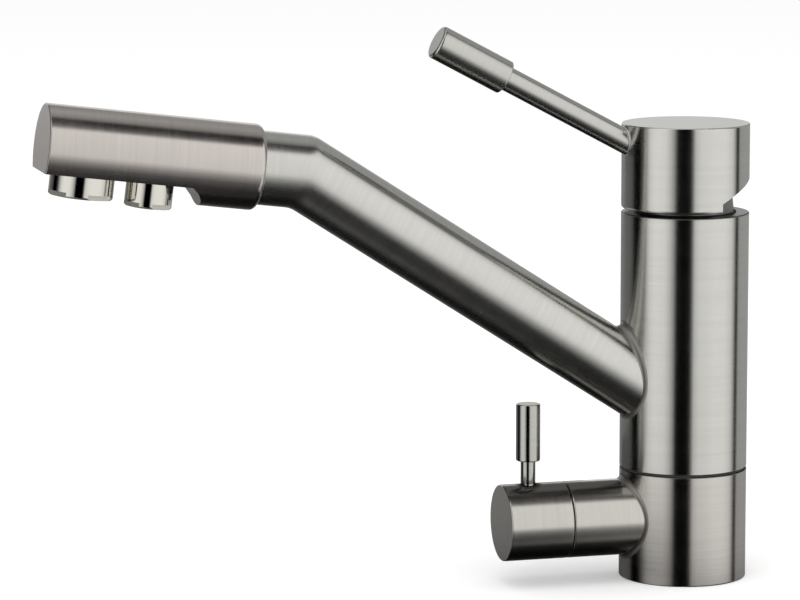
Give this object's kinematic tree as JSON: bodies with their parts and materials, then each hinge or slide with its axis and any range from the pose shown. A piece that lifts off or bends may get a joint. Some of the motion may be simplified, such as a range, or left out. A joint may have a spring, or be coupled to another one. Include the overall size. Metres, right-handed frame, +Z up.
{
  "type": "three way filtered water tap",
  "caption": "Kitchen tap with a swivelling angled spout, a mixer lever on its cap, and a side lever that opens a separate filtered water outlet.",
  "frame": {"origin": "middle of the base on the worktop, on the fixing stud's axis", "axes": "+Z up the body, -X along the spout, the mixer lever and the filter valve as pictured, +Y completes the right-handed frame"},
  "size_m": [0.2803, 0.05, 0.2189],
  "materials": {
    "brushed_steel": "brushed",
    "satin_lever_steel": "fine satin",
    "chrome": "polished",
    "brass": "machined",
    "black_rubber": "matte",
    "black_acetal": "matte",
    "white_acetal": "moulded",
    "ceramic": "lapped",
    "grey_polymer": "moulded",
    "clear_polymer": "smooth",
    "dark_steel": "black oxide"
  },
  "bodies": {
    "base": {"base_shell": "brushed_steel", "base_seal": "black_rubber", "valve_core": "brass", "core_o_rings": "black_rubber", "lower_slide_ring": "black_acetal", "upper_slide_ring": "white_acetal", "cartridge_housing": "white_acetal", "cartridge_seals": "black_rubber", "mixer_fixed_disc": "ceramic", "cartridge_nut": "chrome", "filter_valve_body": "brass", "filter_bonnet": "brass", "filter_fixed_disc": "ceramic", "spigot_o_ring": "black_rubber"},
    "spout": {"swivel_sleeve": "brushed_steel", "spout_tube": "brushed_steel", "filtered_tube": "clear_polymer", "head_shell": "brushed_steel", "head_end_plate": "brushed_steel", "head_waterway": "grey_polymer", "waterway_o_ring": "black_rubber", "filtered_tube_seal": "black_rubber", "mixed_aerator_housing": "chrome", "mixed_aerator_insert": "grey_polymer", "mixed_aerator_washer": "black_rubber", "filter_aerator_housing": "chrome", "filter_aerator_insert": "grey_polymer", "filter_aerator_washer": "black_rubber"},
    "carrier": {"stem_carrier": "white_acetal", "stem_pin": "dark_steel"},
    "lever": {"lever_stem": "brass", "lever_cap": "brushed_steel", "lever_rod": "satin_lever_steel", "lever_grip": "satin_lever_steel", "cap_set_screw": "dark_steel", "cap_screw_plug": "satin_lever_steel"},
    "disc": {"mixer_moving_disc": "ceramic", "disc_driver": "white_acetal"},
    "knob": {"filter_knob": "brushed_steel", "knob_lever_rod": "satin_lever_steel", "knob_lever_grip": "satin_lever_steel", "filter_spindle": "brass", "filter_moving_disc": "ceramic", "spindle_o_ring": "black_rubber", "knob_set_screw": "dark_steel"}
  },
  "joints": [
    {"name": "spout_swivel", "type": "hinge", "parent": "base", "child": "spout", "pos_m": [0, 0, 0.1], "axis": [0, 0, 1], "continuous": true},
    {"name": "lever_turn", "type": "hinge", "parent": "base", "child": "carrier", "pos_m": [0, 0, 0.165], "axis": [0, 0, 1], "range_deg": [-45, 45]},
    {"name": "lever_lift", "type": "hinge", "parent": "carrier", "child": "lever", "pos_m": [0, 0, 0.165], "axis": [0, 1, 0], "range_deg": [0, 20]},
    {"name": "disc_slide", "type": "slide", "parent": "carrier", "child": "disc", "axis": [1, 0, 0], "range_m": [-0.0049, 0]},
    {"name": "filter_turn", "type": "hinge", "parent": "base", "child": "knob", "pos_m": [-0.06, 0, 0.0246], "axis": [1, 0, 0], "range_deg": [0, 90]}
  ],
  "couplings": [
    {"joint": "disc_slide", "follows": "lever_lift", "m_per_rad": -0.014}
  ]
}
